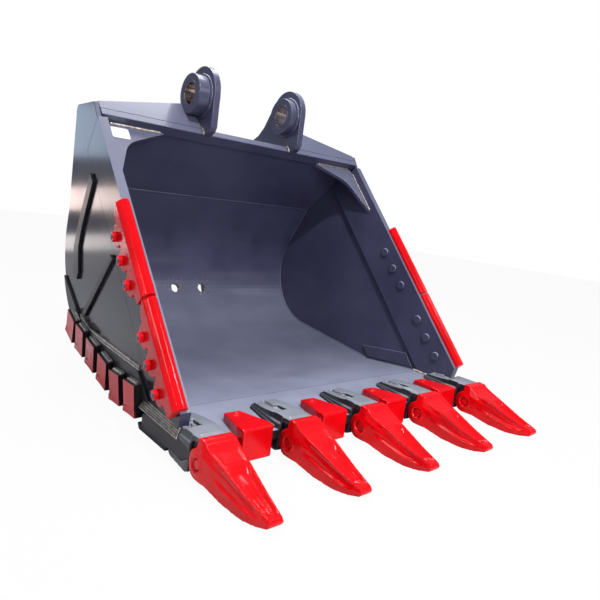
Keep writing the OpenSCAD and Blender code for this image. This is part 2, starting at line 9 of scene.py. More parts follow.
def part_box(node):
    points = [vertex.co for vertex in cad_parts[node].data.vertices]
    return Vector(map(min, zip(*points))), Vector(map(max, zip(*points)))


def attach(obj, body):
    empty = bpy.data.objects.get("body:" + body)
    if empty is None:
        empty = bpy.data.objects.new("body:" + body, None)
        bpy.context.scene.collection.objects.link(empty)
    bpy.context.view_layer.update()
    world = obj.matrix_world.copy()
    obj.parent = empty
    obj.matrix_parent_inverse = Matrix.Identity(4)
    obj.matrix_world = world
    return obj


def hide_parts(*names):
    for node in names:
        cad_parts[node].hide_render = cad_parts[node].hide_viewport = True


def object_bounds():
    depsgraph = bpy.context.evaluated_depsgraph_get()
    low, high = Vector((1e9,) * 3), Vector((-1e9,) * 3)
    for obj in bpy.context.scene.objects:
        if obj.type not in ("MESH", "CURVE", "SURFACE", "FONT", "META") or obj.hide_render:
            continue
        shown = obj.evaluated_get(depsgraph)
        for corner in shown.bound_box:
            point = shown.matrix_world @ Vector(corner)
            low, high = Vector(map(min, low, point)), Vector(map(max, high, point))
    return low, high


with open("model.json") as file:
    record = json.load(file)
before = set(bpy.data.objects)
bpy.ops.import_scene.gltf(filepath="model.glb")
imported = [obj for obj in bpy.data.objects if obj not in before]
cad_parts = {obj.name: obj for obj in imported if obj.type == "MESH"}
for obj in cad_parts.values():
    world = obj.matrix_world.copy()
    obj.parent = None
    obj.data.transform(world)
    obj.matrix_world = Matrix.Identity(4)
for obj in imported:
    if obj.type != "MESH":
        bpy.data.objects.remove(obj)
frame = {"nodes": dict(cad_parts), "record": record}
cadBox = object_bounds()
nodes = frame["nodes"]
body = "bucket"
print("frame loaded:", len(nodes), "nodes")

# Camera.
cameraSet = {
    "place": (-1.8366, -2.7132, -0.5189),
    "right": (0.75871, -0.64052, 0.11871),
    "up": (0.01488, 0.19923, 0.97984),
    "ahead": (0.65126, 0.74165, -0.16069),
    "lens": 33.35,          # on a 36 mm sensor
}


def makeCamera():
    data = bpy.data.cameras.new("camera")
    data.lens = cameraSet["lens"]
    data.sensor_width = 36
    data.clip_end = 60
    cam = bpy.data.objects.new("camera", data)
    bpy.context.scene.collection.objects.link(cam)
    turn = Matrix((cameraSet["right"], cameraSet["up"], [-v for v in cameraSet["ahead"]])).transposed()
    cam.matrix_world = Matrix.Translation(cameraSet["place"]) @ turn.to_4x4()
    bpy.context.scene.camera = cam


makeCamera()

# Layout.
# The mouth line leans back from the top lip; p runs down it and q goes behind it.
layout = {"lean": math.radians(41.9), "taper": math.radians(5), "lipBarHeight": 0.040, "barThick": 0.043,
          "barWide": 0.225, "lipRise": 0.013, "sideThick": 0.022, "teeth": 5}
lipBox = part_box("top_lip_bar")
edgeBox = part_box("cutting_edge")
halfWidth = edgeBox[1][0]
mouthTop = (lipBox[0][1] + layout["lipBarHeight"] * math.sin(layout["lean"]), lipBox[1][2])
lipFront = (edgeBox[0][1], edgeBox[1][2] - layout["lipRise"])   # top front corner of the lip plate
toothBoxes = [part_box("tooth_%d" % (n + 1)) for n in range(layout["teeth"])]
toothX = [(low[0] + high[0]) / 2 for low, high in toothBoxes]


# A point at x across, p down the mouth line and q behind it, on the bucket's centre frame.
def mouthPoint(x, p, q):
    s, c = math.sin(layout["lean"]), math.cos(layout["lean"])
    y = mouthTop[0] - p * s + q * c
    z = mouthTop[1] - p * c - q * s
    return np.stack(np.broadcast_arrays(x, y, z), -1).astype(float)


# The same, laid on the toed-in side plate: inward is measured square to its outer face.
def sidePoint(inward, p, q, side=-1):
    t = layout["taper"]
    s, c = math.sin(layout["lean"]), math.cos(layout["lean"])
    x = halfWidth - inward * math.cos(t) - q * math.sin(t)
    qTrue = q * math.cos(t) - inward * math.sin(t)
    y = mouthTop[0] - p * s + qTrue * c
    z = mouthTop[1] - p * c - qTrue * s
    return np.stack(np.broadcast_arrays(side * x, y, z), -1).astype(float)


# Materials.
def groupShell(name, inputs, outputs):
    group = bpy.data.node_groups.new(name, "ShaderNodeTree")
    for label, kind, value in inputs:
        socket = group.interface.new_socket(name=label, in_out="INPUT", socket_type=kind)
        socket.default_value = value
    for label, kind in outputs:
        group.interface.new_socket(name=label, in_out="OUTPUT", socket_type=kind)
    return group, group.nodes.new("NodeGroupInput"), group.nodes.new("NodeGroupOutput")


def noise(tree, vector, scale, detail=4.0, rough=0.55, distort=0.0):
    node = tree.nodes.new("ShaderNodeTexNoise")
    node.inputs["Scale"].default_value = scale
    node.inputs["Detail"].default_value = detail
    node.inputs["Roughness"].default_value = rough
    node.inputs["Distortion"].default_value = distort
    tree.links.new(vector, node.inputs["Vector"])
    return node.outputs["Fac"]


def ramp(tree, value, low, high, outLow=0.0, outHigh=1.0):
    node = tree.nodes.new("ShaderNodeMapRange")
    node.inputs["From Min"].default_value = low
    node.inputs["From Max"].default_value = high
    node.inputs["To Min"].default_value = outLow
    node.inputs["To Max"].default_value = outHigh
    tree.links.new(value, node.inputs["Value"])
    return node.outputs["Result"]


def math2(tree, kind, a, b):
    node = tree.nodes.new("ShaderNodeMath")
    node.operation = kind
    for socket, value in zip(node.inputs, (a, b)):
        if isinstance(value, (int, float)):
            socket.default_value = value
        else:
            tree.links.new(value, socket)
    return node.outputs[0]


def mixColour(tree, fac, a, b):
    node = tree.nodes.new("ShaderNodeMix")
    node.data_type = "RGBA"
    for socket, value in ((node.inputs[0], fac), (node.inputs[6], a), (node.inputs[7], b)):
        if isinstance(value, tuple):
            socket.default_value = value + (1.0,)
        else:
            tree.links.new(value, socket)
    return node.outputs[2]


skinLook = {"peelScale": 190, "waveScale": 9, "pitScale": 95, "patchScale": 3.2}
dustAndSkylightLook = {"upward": (0.25, 0.95),      # share of a face's normal that points up
            "patchScale": 5, "patchBand": (0.30, 0.70), "patchLow": 0.72,
            "thins": (-1.05, -0.20), "thinLow": 0.50}       # from front to back, in metres along y


# Height of a sprayed skin: fine orange peel, slow waves, and pits where the metal below is cast.
def makePaintSkin():
    group, gin, gout = groupShell("paintSkin", [
        ("Vector", "NodeSocketVector", (0, 0, 0)), ("Peel", "NodeSocketFloat", 0.3),
        ("Waves", "NodeSocketFloat", 0.3), ("Pits", "NodeSocketFloat", 0.0)],
        [("Height", "NodeSocketFloat"), ("Mask", "NodeSocketFloat")])
    vector = gin.outputs["Vector"]
    peel = math2(group, "MULTIPLY", noise(group, vector, skinLook["peelScale"], 2), gin.outputs["Peel"])
    waves = math2(group, "MULTIPLY", noise(group, vector, skinLook["waveScale"], 2), gin.outputs["Waves"])
    voronoi = group.nodes.new("ShaderNodeTexVoronoi")
    voronoi.inputs["Scale"].default_value = skinLook["pitScale"]
    group.links.new(vector, voronoi.inputs["Vector"])
    pits = math2(group, "MULTIPLY", voronoi.outputs["Distance"], gin.outputs["Pits"])
    total = math2(group, "ADD", math2(group, "ADD", peel, waves), pits)
    group.links.new(total, gout.inputs["Height"])
    group.links.new(noise(group, vector, skinLook["patchScale"], 5, 0.6), gout.inputs["Mask"])
    return group


# Colour lightened on faces looking up, part pale dust and part painted skylight, broken by noise,
# and fading from the lip (front, low y) towards the back of the bowl, which paints shade deeper in the bowl.
def makeDustAndSkylightFilm():
    group, gin, gout = groupShell("dustAndSkylightFilm", [
        ("Vector", "NodeSocketVector", (0, 0, 0)), ("Color", "NodeSocketColor", (0.1, 0.1, 0.1, 1)),
        ("DustAndSkylight", "NodeSocketColor", (0.5, 0.47, 0.42, 1)), ("Amount", "NodeSocketFloat", 0.3)],
        [("Color", "NodeSocketColor"), ("Mask", "NodeSocketFloat")])
    geo = group.nodes.new("ShaderNodeNewGeometry")
    split = group.nodes.new("ShaderNodeSeparateXYZ")
    group.links.new(geo.outputs["Normal"], split.inputs[0])
    upward = ramp(group, split.outputs["Z"], *dustAndSkylightLook["upward"])
    cloud = noise(group, gin.outputs["Vector"], dustAndSkylightLook["patchScale"], 8, 0.62)
    patch = ramp(group, cloud, *dustAndSkylightLook["patchBand"], dustAndSkylightLook["patchLow"], 1.0)
    place = group.nodes.new("ShaderNodeSeparateXYZ")
    group.links.new(gin.outputs["Vector"], place.inputs[0])
    thin = ramp(group, place.outputs["Y"], *dustAndSkylightLook["thins"], 1.0, dustAndSkylightLook["thinLow"])
    mask = math2(group, "MULTIPLY", math2(group, "MULTIPLY", upward, patch), gin.outputs["Amount"])
    mask = math2(group, "MULTIPLY", mask, thin)
    group.links.new(mixColour(group, mask, gin.outputs["Color"], gin.outputs["DustAndSkylight"]), gout.inputs["Color"])
    group.links.new(mask, gout.inputs["Mask"])
    return group


paintSkin = makePaintSkin()
dustAndSkylightFilm = makeDustAndSkylightFilm()


paintLook = {"patchBand": (0.38, 0.66), "rubScale": 26, "rubBand": (0.60, 0.74), "roughBand": (0.3, 0.7),
             "dustRough": 0.35, "gloss": 0.5}
metalLook = {"tintBand": (0.35, 0.65), "lineBand": (0.3, 0.7), "lineShare": 0.35, "scratchDeep": 0.0006}


# Sprayed paint: two close shades in patches, a film of dust and painted skylight on faces looking up, orange
# peel and a clear gloss.
def makePaint(name, look):
    mat = bpy.data.materials.new(name)
    mat.use_nodes = True
    tree = mat.node_tree
    shader = tree.nodes["Principled BSDF"]
    vector = tree.nodes.new("ShaderNodeTexCoord").outputs["Object"]
    skin = tree.nodes.new("ShaderNodeGroup")
    skin.node_tree = paintSkin
    tree.links.new(vector, skin.inputs["Vector"])
    for key in ("Peel", "Waves", "Pits"):
        skin.inputs[key].default_value = look[key.lower()]
    patch = ramp(tree, skin.outputs["Mask"], *paintLook["patchBand"])
    colour = mixColour(tree, patch, look["dark"], look["light"])
    if "scuff" in look:         # thin pale rubs where handling marked the paint
        streak = noise(tree, vector, paintLook["rubScale"], 9, 0.72, 1.5)
        rub = ramp(tree, streak, *paintLook["rubBand"], 0, look["scuff"])
        colour = mixColour(tree, rub, colour, look["scuffColour"])
    # faces looking up are lightened: part dust, part painted skylight
    film = tree.nodes.new("ShaderNodeGroup")
    film.node_tree = dustAndSkylightFilm
    tree.links.new(vector, film.inputs["Vector"])
    tree.links.new(colour, film.inputs["Color"])
    film.inputs["DustAndSkylight"].default_value = look["dustAndSkylightColour"] + (1,)
    film.inputs["Amount"].default_value = look["dustAndSkylightAmount"]
    tree.links.new(film.outputs["Color"], shader.inputs["Base Color"])
    rough = ramp(tree, skin.outputs["Mask"], *paintLook["roughBand"], *look["rough"])
    rough = math2(tree, "ADD", rough, math2(tree, "MULTIPLY", film.outputs["Mask"], paintLook["dustRough"]))
    tree.links.new(rough, shader.inputs["Roughness"])
    shader.inputs["Metallic"].default_value = look["metal"]
    shader.inputs["Coat Weight"].default_value = look["coat"]
    shader.inputs["Coat Roughness"].default_value = look["coatRough"]
    bump = tree.nodes.new("ShaderNodeBump")
    bump.inputs["Strength"].default_value = look["bump"]
    bump.inputs["Distance"].default_value = look["deep"]
    tree.links.new(skin.outputs["Height"], bump.inputs["Height"])
    tree.links.new(bump.outputs["Normal"], shader.inputs["Normal"])
    shader.inputs["Specular IOR Level"].default_value = look.get("gloss", paintLook["gloss"])
    return mat


# Bare metal: heat tints and fine scratches round the axis or along a bead.
def makeMetal(name, look):
    mat = bpy.data.materials.new(name)
    mat.use_nodes = True
    tree = mat.node_tree
    shader = tree.nodes["Principled BSDF"]
    vector = tree.nodes.new("ShaderNodeTexCoord").outputs["Object"]
    tint = ramp(tree, noise(tree, vector, look["tintScale"], 6, 0.6), *metalLook["tintBand"])
    colour = mixColour(tree, tint, look["dark"], look["light"])
    stretch = tree.nodes.new("ShaderNodeMapping")
    stretch.inputs["Scale"].default_value = look["stretch"]
    tree.links.new(vector, stretch.inputs["Vector"])
    lines = noise(tree, stretch.outputs["Vector"], look["lineScale"], 5, 0.6)
    share = ramp(tree, lines, *metalLook["lineBand"], 0, metalLook["lineShare"])
    colour = mixColour(tree, share, colour, look["line"])
    tree.links.new(colour, shader.inputs["Base Color"])
    rough = ramp(tree, lines, *metalLook["lineBand"], *look["rough"])
    tree.links.new(rough, shader.inputs["Roughness"])
    shader.inputs["Metallic"].default_value = look["metal"]
    bump = tree.nodes.new("ShaderNodeBump")
    bump.inputs["Strength"].default_value = look["bump"]
    bump.inputs["Distance"].default_value = metalLook["scratchDeep"]
    tree.links.new(lines, bump.inputs["Height"])
    tree.links.new(bump.outputs["Normal"], shader.inputs["Normal"])
    return mat


paints = {
    # its blue-grey film on faces looking up is partly dust and partly painted skylight sheen on the bowl floor
    "anthracite": {"dark": (0.042, 0.043, 0.084), "light": (0.056, 0.058, 0.106), "scuff": 0.06,
                   "scuffColour": (0.16, 0.16, 0.20), "dustAndSkylightColour": (0.300, 0.315, 0.410), "dustAndSkylightAmount": 0.90,
                   "rough": (0.28, 0.36), "metal": 0.05, "coat": 0.35, "coatRough": 0.14,
                   "peel": 0.20, "waves": 0.7, "pits": 0.0, "bump": 0.20, "deep": 0.0012},
    "anthraciteDark": {"dark": (0.010, 0.010, 0.013), "light": (0.018, 0.018, 0.022), "scuff": 0.10,
                       "scuffColour": (0.10, 0.10, 0.11), "dustAndSkylightColour": (0.10, 0.10, 0.11), "dustAndSkylightAmount": 0.30,
                       "rough": (0.30, 0.44), "metal": 0.0, "coat": 0.1, "coatRough": 0.16, "gloss": 0.3,
                       "peel": 0.3, "waves": 0.5, "pits": 0.2, "bump": 0.3, "deep": 0.0012},
    # a blacker copy of the anthracite for the outer faces: painted shade
    "anthraciteShadedOuter": {"dark": (0.014, 0.013, 0.018), "light": (0.022, 0.021, 0.028), "scuff": 0.05,
                        "scuffColour": (0.12, 0.12, 0.14), "dustAndSkylightColour": (0.10, 0.10, 0.11), "dustAndSkylightAmount": 0.30,
                        "rough": (0.14, 0.20), "metal": 0.0, "coat": 0.08, "coatRough": 0.08, "gloss": 0.30,
                        "peel": 0.15, "waves": 0.8, "pits": 0.0, "bump": 0.14, "deep": 0.0012},
    # its pale film on faces looking up is partly dust and partly a painted reflection on the adapter tops
    "anthraciteCast": {"dark": (0.010, 0.010, 0.014), "light": (0.020, 0.021, 0.027), "scuff": 0.18,
                       "scuffColour": (0.22, 0.23, 0.26), "dustAndSkylightColour": (0.30, 0.32, 0.37), "dustAndSkylightAmount": 0.78,
                       "rough": (0.26, 0.42), "metal": 0.1, "coat": 0.6, "coatRough": 0.14,
                       "peel": 0.4, "waves": 0.6, "pits": 0.5, "bump": 0.5, "deep": 0.0018},
    # its film is a brighter red on faces looking up: painted light on the tops, not dust
    "signalRed": {"dark": (0.52, 0.001, 0.003), "light": (0.76, 0.0015, 0.005),
                  "dustAndSkylightColour": (0.85, 0.08, 0.08), "dustAndSkylightAmount": 0.03,
                  "rough": (0.09, 0.16), "metal": 0.0, "coat": 0.10, "coatRough": 0.03, "gloss": 0.22,
                  "peel": 0.5, "waves": 0.9, "pits": 0.5, "bump": 0.5, "deep": 0.0014},
    "boltRed": {"dark": (0.60, 0.002, 0.005), "light": (0.82, 0.004, 0.008), "scuff": 0.1,
                "scuffColour": (0.35, 0.08, 0.07), "dustAndSkylightColour": (0.5, 0.1, 0.1), "dustAndSkylightAmount": 0.08,
                "rough": (0.18, 0.30), "metal": 0.0, "coat": 0.1, "coatRough": 0.08, "gloss": 0.3,
                "peel": 0.4, "waves": 0.4, "pits": 0.4, "bump": 0.5, "deep": 0.001},
    "labelWhite": {"dark": (0.72, 0.73, 0.75), "light": (0.84, 0.85, 0.86), "scuff": 0.25,
                   "scuffColour": (0.5, 0.5, 0.5), "dustAndSkylightColour": (0.6, 0.6, 0.6), "dustAndSkylightAmount": 0.2,
                   "rough": (0.35, 0.5), "metal": 0.0, "coat": 0.2, "coatRough": 0.2,
                   "peel": 0.1, "waves": 0.2, "pits": 0.0, "bump": 0.1, "deep": 0.0005},
}
metals = {
    "borePolish": {"dark": (0.30, 0.22, 0.19), "light": (0.62, 0.56, 0.53), "line": (0.20, 0.16, 0.15),
                   "tintScale": 14, "lineScale": 9, "stretch": (60, 1, 1), "rough": (0.16, 0.34),
                   "metal": 1.0, "bump": 0.15},
    "pinSteel": {"dark": (0.30, 0.29, 0.28), "light": (0.50, 0.49, 0.47), "line": (0.18, 0.17, 0.16),
                 "tintScale": 40, "lineScale": 12, "stretch": (1, 20, 20), "rough": (0.30, 0.5),
                 "metal": 0.3, "bump": 0.3},
    "weldMetal": {"dark": (0.26, 0.235, 0.20), "light": (0.62, 0.58, 0.52), "line": (0.16, 0.14, 0.12),
                  "tintScale": 55, "lineScale": 160, "stretch": (1, 1, 1), "rough": (0.24, 0.45),
                  "metal": 0.9, "bump": 0.5},
}
finish = {name: makePaint(name, look) for name, look in paints.items()}
finish.update({name: makeMetal(name, look) for name, look in metals.items()})
print("finishes made:", len(finish))


# Piece makers.
def addPiece(name, mesh, material, rideOn=body, stands=()):
    piece = bpy.data.objects.new(name, mesh)
    bpy.context.scene.collection.objects.link(piece)
    mesh.materials.clear()
    mesh.materials.append(finish[material])
    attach(piece, rideOn)
    if stands:
        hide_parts(*stands)
    return piece


# A second finish goes on the faces that a rule on their middles and directions picks out.
def paintFaces(piece, material, rule):
    mesh = piece.data
    mesh.materials.append(finish[material])
    count = len(mesh.polygons)
    out, middle = np.empty(count * 3), np.empty(count * 3)
    mesh.polygons.foreach_get("normal", out)
    mesh.polygons.foreach_get("center", middle)
    picked = rule(middle.reshape(-1, 3), out.reshape(-1, 3))
    mesh.polygons.foreach_set("material_index", picked.astype(np.int32))
    mesh.update()


# A merged copy of a CAD node; triangles within the flat angle become one face.
def cleanCopy(node, flat):
    mesh = nodes[node].data.copy()
    work = bmesh.new()
    work.from_mesh(mesh)
    bmesh.ops.remove_doubles(work, verts=work.verts, dist=2e-5)
    if flat:
        bmesh.ops.dissolve_limit(work, angle_limit=math.radians(flat), verts=work.verts, edges=work.edges)
    work.to_mesh(mesh)
    work.free()
    mesh.name = node + "Shape"
    return mesh


# A plate with its burnt edges broken by a small round.
def platePiece(node, material, bevel=0.0025, steps=2, rideOn=body):
    mesh = cleanCopy(node, 0.4)
    mesh.shade_smooth()
    mesh.set_sharp_from_angle(angle=math.radians(24))
    piece = addPiece(node + "_plate", mesh, material, rideOn, (node,))
    cut = piece.modifiers.new("edges", "BEVEL")
    cut.width = bevel
    cut.segments = steps
    cut.limit_method = "ANGLE"
    cut.angle_limit = math.radians(28)
    cut.harden_normals = True
    return piece


# A casting: the solid is remeshed in even cells, relaxed, then shaped by whole-array moves.
def castPiece(node, material, shape, sculpt=None):
    mesh = cleanCopy(node, 0)
    temp = bpy.data.objects.new("temp", mesh)
    bpy.context.scene.collection.objects.link(temp)
    cells = temp.modifiers.new("cells", "REMESH")
    cells.mode = "VOXEL"
    cells.voxel_size = shape["voxel"]
    relax = temp.modifiers.new("relax", "SMOOTH")
    relax.factor = 0.5
    relax.iterations = shape["smooth"]
    graph = bpy.context.evaluated_depsgraph_get()
    shaped = bpy.data.meshes.new_from_object(temp.evaluated_get(graph))
    bpy.data.objects.remove(temp)
    if sculpt is not None:
        count = len(shaped.vertices)
        at = np.empty(count * 3)
        out = np.empty(count * 3)
        shaped.vertices.foreach_get("co", at)
        shaped.vertex_normals.foreach_get("vector", out)
        at = sculpt(at.reshape(-1, 3), out.reshape(-1, 3))
        shaped.vertices.foreach_set("co", at.reshape(-1))
        shaped.update()
    shaped.shade_smooth()
    shaped.name = node + "Cast"
    return addPiece(node + "_cast", shaped, material, stands=(node,))


# A closed skin from rings of points: quads between rings, and both end rings drawn to a point.
def gridMesh(name, rings):
    count, around = rings.shape[:2]
    a = np.arange(count - 1)[:, None] * around + np.arange(around)[None]
    b = np.arange(count - 1)[:, None] * around + (np.arange(around)[None] + 1) % around
    faces = np.stack([a, b, b + around, a + around], -1).reshape(-1, 4)
    mesh = bpy.data.meshes.new(name)
    mesh.from_pydata(rings.reshape(-1, 3).tolist(), [], faces.tolist())
    return mesh


# Several closed skins in one piece, with their doubles merged and faces turned outwards.
def joinRings(name, allRings, material):
    work = bmesh.new()
    for rings in allRings:
        mesh = gridMesh("part", rings)
        work.from_mesh(mesh)
        bpy.data.meshes.remove(mesh)
    bmesh.ops.remove_doubles(work, verts=work.verts, dist=1e-6)
    bmesh.ops.recalc_face_normals(work, faces=work.faces)
    mesh = bpy.data.meshes.new(name)
    work.to_mesh(mesh)
    work.free()
    mesh.shade_smooth()
    return addPiece(name, mesh, material)


# Points spaced evenly along a broken line.
def evenPath(points, step):
    points = np.asarray(points, float)
    run = np.r_[0, np.cumsum(np.linalg.norm(np.diff(points, axis=0), axis=1))]
    count = max(int(run[-1] / step), 6)
    at = np.linspace(0, run[-1], count)
    return np.stack([np.interp(at, run, points[:, i]) for i in range(3)], -1), at


weldLook = {"step": 0.0026, "around": 14, "ripple": 0.0075, "rippleHigh": 0.22, "sunk": 0.25,
            "wander": 0.10, "wanderRun": 0.02}
chance = np.random.default_rng(7)


# A weld bead: a half-oval profile carried along the path, its height rising and falling in
# crescent ripples that lag at the sides, its width wandering a little, both ends closed.
def beadRings(points, outward, wide, high):
    path, at = evenPath(points, weldLook["step"])
    along = np.gradient(path, axis=0)
    along /= np.linalg.norm(along, axis=1, keepdims=True)
    outward = np.asarray(outward, float)
    if outward.ndim == 2:       # given along the path
        share, mark = np.linspace(0, 1, len(path)), np.linspace(0, 1, len(outward))
        outward = np.stack([np.interp(share, mark, column) for column in outward.T], -1)
    outward = np.broadcast_to(outward / np.linalg.norm(outward, axis=-1, keepdims=True), path.shape)
    across = np.cross(along, outward)
    across /= np.linalg.norm(across, axis=1, keepdims=True)
    outward = np.cross(across, along)
    phi = np.linspace(0, 2 * np.pi, weldLook["around"], endpoint=False)[None]
    lag = 0.5 * (1 - np.sin(np.clip(phi, 0, np.pi)))
    phase = at[:, None] / weldLook["ripple"] - lag
    crest = (phase - np.floor(phase)) ** 0.6
    bends = max(int(at[-1] / weldLook["wanderRun"]), 3)
    slow = np.interp(at, np.linspace(0, at[-1], bends), chance.uniform(-1, 1, bends))[:, None]
    size = 1 + weldLook["wander"] * slow
    fromEnd = np.minimum(np.minimum(at, at[-1] - at) / (wide * 0.6), 1)
    fade = np.sqrt(np.clip(1 - (1 - fromEnd) ** 2, 0, 1))[:, None]
    x = np.cos(phi) * wide / 2 * size * fade * (1 + 0.05 * crest)
    ripple = 1 - weldLook["rippleHigh"] + weldLook["rippleHigh"] * crest
    lift = np.sin(phi) * high * np.where(np.sin(phi) > 0, ripple, weldLook["sunk"])
    y = lift * size * fade
    return path[:, None] + across[:, None] * x[..., None] + outward[:, None] * y[..., None]


# The same bead carried round a circle about the pin axis, closed on itself by its own overlap.
def ringRings(centre, radius, normalX, wide, high):
    turn = np.linspace(0, 2 * np.pi, 90)
    points = np.stack([np.full_like(turn, centre[0]), centre[1] + radius * np.cos(turn),
                       centre[2] + radius * np.sin(turn)], -1)
    _, at = evenPath(points, weldLook["step"])
    angle = at / at[-1] * 2 * np.pi
    spread = np.stack([np.full_like(angle, normalX), np.cos(angle), np.sin(angle)], -1)
    return beadRings(points, spread, wide, high)


# Steel plates.
plateFinish = {"edge": 0.0025, "thickEdge": 0.004, "bossEdge": 0.004, "bushEdge": 0.0015, "boltEdge": 0.006,
               "nutEdge": 0.0025, "pinEdge": 0.003, "heelEdge": 0.005}
thinPlates = ("side_plate", "wrapper", "roof", "shoulder", "inner_liner", "side_strips", "side_wear",
              "ear_tube", "corner_gusset")
thickPlates = ("side_bar", "top_lip", "cutting_edge", "lip_wear", "ear_left", "ear_right", "heel_straps")
darkPlates = ("side_wear", "side_strips", "lip_wear", "heel_straps")


# Rules for paintFaces: faces that look away from the bucket's middle, and faces square to the pin axis.
def outerFaces(middle, out):
    return out[:, 0] * np.sign(middle[:, 0]) > 0.7


def sideways(middle, out):
    return np.abs(out[:, 0]) > 0.7


for kinds, edge, steps in ((thinPlates, plateFinish["edge"], 2), (thickPlates, plateFinish["thickEdge"], 3)):
    for n in [name for name in nodes if name.startswith(kinds)]:
        shade = "anthraciteDark" if n.startswith(darkPlates) else "anthracite"
        piece = platePiece(n, shade, edge, steps)
        if n.startswith(("side_plate", "side_bar")):     # the outer faces get a blacker copy of the paint, painted shade, and are glossier
            paintFaces(piece, "anthraciteShadedOuter", outerFaces)
        if n == "cutting_edge":     # ends and underside take the near-black paint: painted shade
            paintFaces(piece, "anthraciteDark", lambda middle, out: sideways(middle, out) | (out[:, 2] < 0.2))
for n in ("stick_pin_bosses", "link_pin_bosses"):
    platePiece(n, "anthracite", plateFinish["bossEdge"], 3)
for n in ("stick_pin_bushes", "link_pin_bushes"):
    piece = platePiece(n, "borePolish", plateFinish["bushEdge"])
    paintFaces(piece, "anthracite", sideways)
for side in ("left", "right"):
    platePiece("side_bolts_" + side, "anthracite", plateFinish["boltEdge"], 4)
    platePiece("side_nuts_" + side, "boltRed", plateFinish["nutEdge"])
for n in range(1, layout["teeth"] + 1):
    piece = platePiece("tooth_pin_%d" % n, "boltRed", plateFinish["pinEdge"], 3, "pin_%d" % n)
    paintFaces(piece, "pinSteel", lambda middle, out: np.abs(out[:, 0]) < 0.5)      # bare shaft, painted ends
print("plates done")

# Castings.
# a runs forward from the lip plate's top front corner and b up from it.
toothShape = {
    "voxel": 0.0032, "smooth": 3, "rib": 0.006, "groove": 0.014, "lip": 0.004, "lipAt": 0.088, "panel": 0.0030,
    "flankRib": 0.007, "pinRing": 0.003, "pinAt": (0.064, -0.031), "pinRingRadius": 0.031,
    "halfWidth": ((0.084, 0.20, 0.33, 0.424), (0.064, 0.053, 0.039, 0.028)),        # a, half width
    "topLine": ((0.084, 0.13, 0.205, 0.32, 0.42), (0.055, 0.033, 0.007, -0.036, -0.066)),       # a, b
    "bottomLine": ((0.12, 0.205, 0.30, 0.37, 0.416), (-0.087, -0.106, -0.112, -0.105, -0.093)),     # a, b
}


# 0 before the start and 1 a width after it, straight between; fall is 1 until a width before its end, then 0.
def rise(value, start, width):
    return np.clip((value - start) / width, 0, 1)


def fall(value, end, width):
    return np.clip((end - value) / width, 0, 1)


# Top: a raised bar at the back edge, a sunk plain panel, then a valley from the panel to the tip that
# leaves a rib along each side and a lower rib in its middle. Flanks: a shallow hollow under the top
# rib and a rib that runs back from the tip. A raised ring stands round the pin.
def sculptTooth(centre):
    def move(at, out):
        x, a, b = at[:, 0] - centre, lipFront[0] - at[:, 1], at[:, 2] - lipFront[1]
        top = rise(out[:, 2], 0.45, 0.3)
        side = np.abs(x) / np.interp(a, *toothShape["halfWidth"])
        run = rise(a - 0.020 * side, 0.185, 0.03) * fall(a, 0.405, 0.035)
        valley = fall(side, 0.80, 0.22)
        rib = np.exp(-(side / 0.20) ** 2) * rise(a, 0.215, 0.05)
        dz = run * top * (toothShape["rib"] * rib - toothShape["groove"]) * valley
        dz += toothShape["lip"] * np.exp(-((a - toothShape["lipAt"]) / 0.007) ** 4) * top
        panel = rise(a, 0.100, 0.006) * fall(a, 0.186, 0.010)
        dz -= toothShape["panel"] * panel * top * fall(side, 0.80, 0.08)
        flank = np.clip(np.abs(out[:, 0]) * 1.6 - 0.5, 0, 1)
        high, low = np.interp(a, *toothShape["topLine"]), np.interp(a, *toothShape["bottomLine"])
        mid = (b - low) / (high - low)
        hollow = rise(mid, 0.42, 0.12) * fall(mid, 0.92, 0.12) * rise(a, 0.14, 0.05) * fall(a, 0.39, 0.06)
        new = at.copy()
        new[:, 0] -= np.sign(x) * toothShape["flankRib"] * hollow * flank
        new[:, 2] += dz
        r = np.hypot(a - toothShape["pinAt"][0], b - toothShape["pinAt"][1])
        ring = np.exp(-((r - toothShape["pinRingRadius"]) / 0.005) ** 2) * flank * (np.abs(x) > 0.066)
        new[:, 0] += np.sign(x) * toothShape["pinRing"] * ring
        return new
    return move


adapterShape = {"voxel": 0.0034, "smooth": 3, "pad": 0.004, "padHalf": 0.046, "slot": 0.011, "slotHalf": 0.0055,
                "slotStep": 0.005, "flankStep": 0.006}


# Top leg: a raised pad in front of the pocket, and a narrow slot running back at a slant with the strip
# on its left sunk a little. Flanks: pulled in slightly under the top edge.
def sculptAdapter(centre):
    def move(at, out):
        x, a, b = at[:, 0] - centre, lipFront[0] - at[:, 1], at[:, 2] - lipFront[1]
        top = rise(out[:, 2], 0.5, 0.3)
        pad = fall(np.abs(x), adapterShape["padHalf"], 0.004) * rise(a, -0.052, 0.004) * fall(a, 0.030, 0.004)
        fromSlot = x + 0.020 + 0.10 * (a + 0.06)
        slot = np.exp(-(fromSlot / adapterShape["slotHalf"]) ** 4)
        slot *= rise(a, -0.205, 0.01) * fall(a, -0.050, 0.01)
        left = fall(fromSlot, 0, 0.004) * fall(a, -0.050, 0.01)
        flank = np.clip(np.abs(out[:, 0]) * 1.6 - 0.5, 0, 1) * fall(a, 0.004, 0.01)
        lift = adapterShape["pad"] * pad - adapterShape["slot"] * slot - adapterShape["slotStep"] * left
        new = at.copy()
        new[:, 2] += lift * top * (b > 0.018)
        new[:, 0] -= np.sign(x) * adapterShape["flankStep"] * flank * rise(b, 0.022, 0.004)
        return new
    return move


